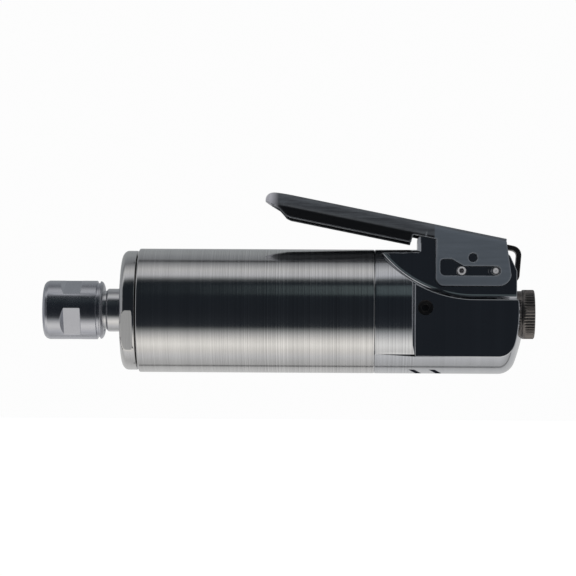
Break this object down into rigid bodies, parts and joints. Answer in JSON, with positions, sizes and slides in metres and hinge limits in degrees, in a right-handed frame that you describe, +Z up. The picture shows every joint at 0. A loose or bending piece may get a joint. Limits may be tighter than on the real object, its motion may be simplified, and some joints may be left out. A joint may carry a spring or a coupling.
{
  "type": "die grinder",
  "caption": "Straight pneumatic die grinder: round steel body, collet nut at the nose, sliding safety lever on top, threaded air inlet and knurled ring at the rear.",
  "frame": {"origin": "centre of the collet's mouth, flush with the nut's front face", "axes": "X along the spindle from the nose to the air inlet, Z up through the lever"},
  "size_m": [0.1743, 0.044, 0.0642],
  "materials": {
    "polished_steel": "polished, fine turned lines",
    "backhead_steel": "polished, darker satin",
    "nut_steel": "satin, dark",
    "bright_steel": "ground",
    "dark_steel": "oiled black oxide",
    "lever_steel": "dark satin",
    "brass": "machined",
    "rubber": "matte",
    "vane_fibre": "machined fibre",
    "gasket_paper": "matte",
    "cage_plastic": "matte",
    "felt": "matte"
  },
  "bodies": {
    "housing": {"motor_housing": "polished_steel", "backhead": "backhead_steel", "front_clamp_ring": "polished_steel", "dust_seal": "rubber", "wave_washer": "dark_steel", "front_end_plate": "bright_steel", "front_bearing_outer": "bright_steel", "cylinder_liner": "bright_steel", "liner_dowels": "bright_steel", "rear_end_plate": "bright_steel", "rear_bearing_outer": "bright_steel", "backhead_gasket": "gasket_paper", "exhaust_muffler": "felt", "front_lever_pin": "bright_steel", "rear_lever_pin": "bright_steel", "throttle_bushing": "brass", "throttle_pin_seal": "rubber", "valve_seat": "brass", "valve_spring": "bright_steel", "inlet_bushing": "dark_steel", "inlet_screen": "brass", "regulator_snap_ring": "dark_steel", "passage_plug": "dark_steel"},
    "spindle": {"spindle_rotor": "bright_steel", "rotor_vanes": "vane_fibre", "front_bearing_inner": "bright_steel", "rear_bearing_inner": "bright_steel", "rotor_lock_nut": "dark_steel"},
    "front_balls": {"front_bearing_balls": "bright_steel", "front_bearing_cage": "cage_plastic"},
    "rear_balls": {"rear_bearing_balls": "bright_steel", "rear_bearing_cage": "cage_plastic"},
    "collet": {"collet": "bright_steel"},
    "nut": {"collet_nut": "nut_steel"},
    "lever_pivot": {"pivot_bushings": "bright_steel"},
    "lever": {"throttle_lever": "lever_steel", "lever_spring": "dark_steel"},
    "throttle_pin": {"throttle_pin": "bright_steel"},
    "throttle_valve": {"throttle_valve": "rubber"},
    "regulator": {"regulator_ring": "dark_steel"}
  },
  "joints": [
    {"name": "spindle_spin", "type": "hinge", "parent": "housing", "child": "spindle", "pos_m": [0, 0, 0], "axis": [-1, 0, 0], "continuous": true},
    {"name": "front_cage_orbit", "type": "hinge", "parent": "housing", "child": "front_balls", "pos_m": [0, 0, 0], "axis": [-1, 0, 0], "continuous": true},
    {"name": "rear_cage_orbit", "type": "hinge", "parent": "housing", "child": "rear_balls", "pos_m": [0, 0, 0], "axis": [-1, 0, 0], "continuous": true},
    {"name": "nut_turn", "type": "hinge", "parent": "collet", "child": "nut", "pos_m": [0, 0, 0], "axis": [-1, 0, 0], "range_deg": [0, 360]},
    {"name": "collet_slide", "type": "slide", "parent": "spindle", "child": "collet", "axis": [-1, 0, 0], "range_m": [0, 0.001]},
    {"name": "lever_squeeze", "type": "hinge", "parent": "housing", "child": "lever_pivot", "pos_m": [0.1602, 0, 0.01415], "axis": [0, -1, 0], "range_deg": [0, 9], "stiffness_Nm_per_rad": 1.5, "springref_deg": -11.46},
    {"name": "lever_slide", "type": "slide", "parent": "lever_pivot", "child": "lever", "axis": [1, 0, 0], "range_m": [0, 0.0055], "deforming": ["lever_spring"]},
    {"name": "throttle_pin_travel", "type": "slide", "parent": "housing", "child": "throttle_pin", "axis": [0, 0, -1], "range_m": [0, 0.0016]},
    {"name": "throttle_valve_travel", "type": "slide", "parent": "housing", "child": "throttle_valve", "axis": [0, 0, -1], "range_m": [0, 0.0016], "deforming": ["valve_spring"]},
    {"name": "regulator_turn", "type": "hinge", "parent": "housing", "child": "regulator", "pos_m": [0.17, 0, -0.0008], "axis": [1, 0, 0], "range_deg": [0, 90]}
  ],
  "couplings": [
    {"joint": "front_cage_orbit", "follows": "spindle_spin", "ratio": 0.39},
    {"joint": "rear_cage_orbit", "follows": "spindle_spin", "ratio": 0.3733},
    {"joint": "nut_turn", "follows": "collet_slide", "rad_per_m": 6283},
    {"joint": "lever_slide", "follows": "lever_squeeze", "m_per_rad": 0.035},
    {"joint": "throttle_pin_travel", "follows": "lever_squeeze", "m_per_rad": 0.01018},
    {"joint": "throttle_valve_travel", "follows": "lever_squeeze", "m_per_rad": 0.01018}
  ]
}
